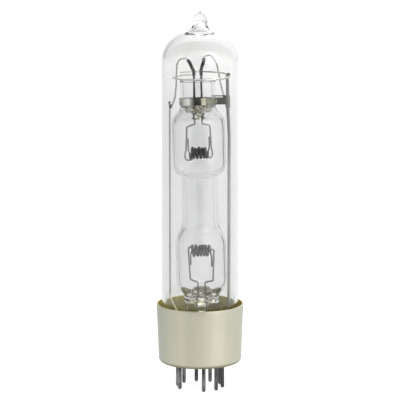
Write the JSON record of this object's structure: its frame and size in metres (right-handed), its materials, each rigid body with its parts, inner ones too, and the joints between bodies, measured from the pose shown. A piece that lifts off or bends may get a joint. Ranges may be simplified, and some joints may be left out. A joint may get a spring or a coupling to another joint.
{
  "type": "spectral lamp",
  "caption": "Gas discharge lamp: waisted burner tube with wound electrodes inside a domed glass bulb, on a metal base shell with contact pins.",
  "frame": {"origin": "centre of the base shell's underside, the plane that seats on the socket, on the bulb's axis", "axes": "+Z along the bulb towards its sealed nipple, +X to the side of the thick support rod, -Y to the side that the picture was taken from; the pin places start beside -Y"},
  "size_m": [0.0228, 0.0228, 0.0997],
  "materials": {
    "bulb_glass": "clear blown glass, smooth",
    "tube_glass": "clear blown glass, smooth, with pinched stems",
    "pin_metal": "dull grey drawn pins",
    "shell_metal": "satin champagne-coloured plating, darker and yellower inside",
    "cement": "matt basing cement",
    "electrode": "rough, coated tungsten",
    "lead_metal": "drawn wire, grey",
    "support_metal": "drawn nickel wire",
    "splice_metal": "dark twisted wire",
    "band_metal": "bright rolled strip"
  },
  "bodies": {
    "root": {"outer_bulb": "bulb_glass", "button_stem": "bulb_glass", "discharge_tube": "tube_glass", "upper_stem": "tube_glass", "lower_stem": "tube_glass", "pin_1": "pin_metal", "pin_2": "pin_metal", "pin_3": "pin_metal", "pin_4": "pin_metal", "pin_5": "pin_metal", "pin_6": "pin_metal", "pin_7": "pin_metal", "pin_8": "pin_metal", "pin_9": "pin_metal", "base_shell": "shell_metal", "base_cement": "cement", "upper_coil": "electrode", "lower_coil": "electrode", "upper_left_lead": "lead_metal", "upper_right_lead": "lead_metal", "lower_left_lead": "lead_metal", "lower_right_lead": "lead_metal", "left_support_wire": "support_metal", "right_support_rod": "support_metal", "spacer_ring": "support_metal", "rod_sleeve": "support_metal", "left_jumper": "support_metal", "right_jumper": "support_metal", "lower_left_jumper": "support_metal", "lower_right_jumper": "support_metal", "left_splice": "splice_metal", "right_splice": "splice_metal", "clamp_band": "band_metal"}
  },
  "joints": []
}
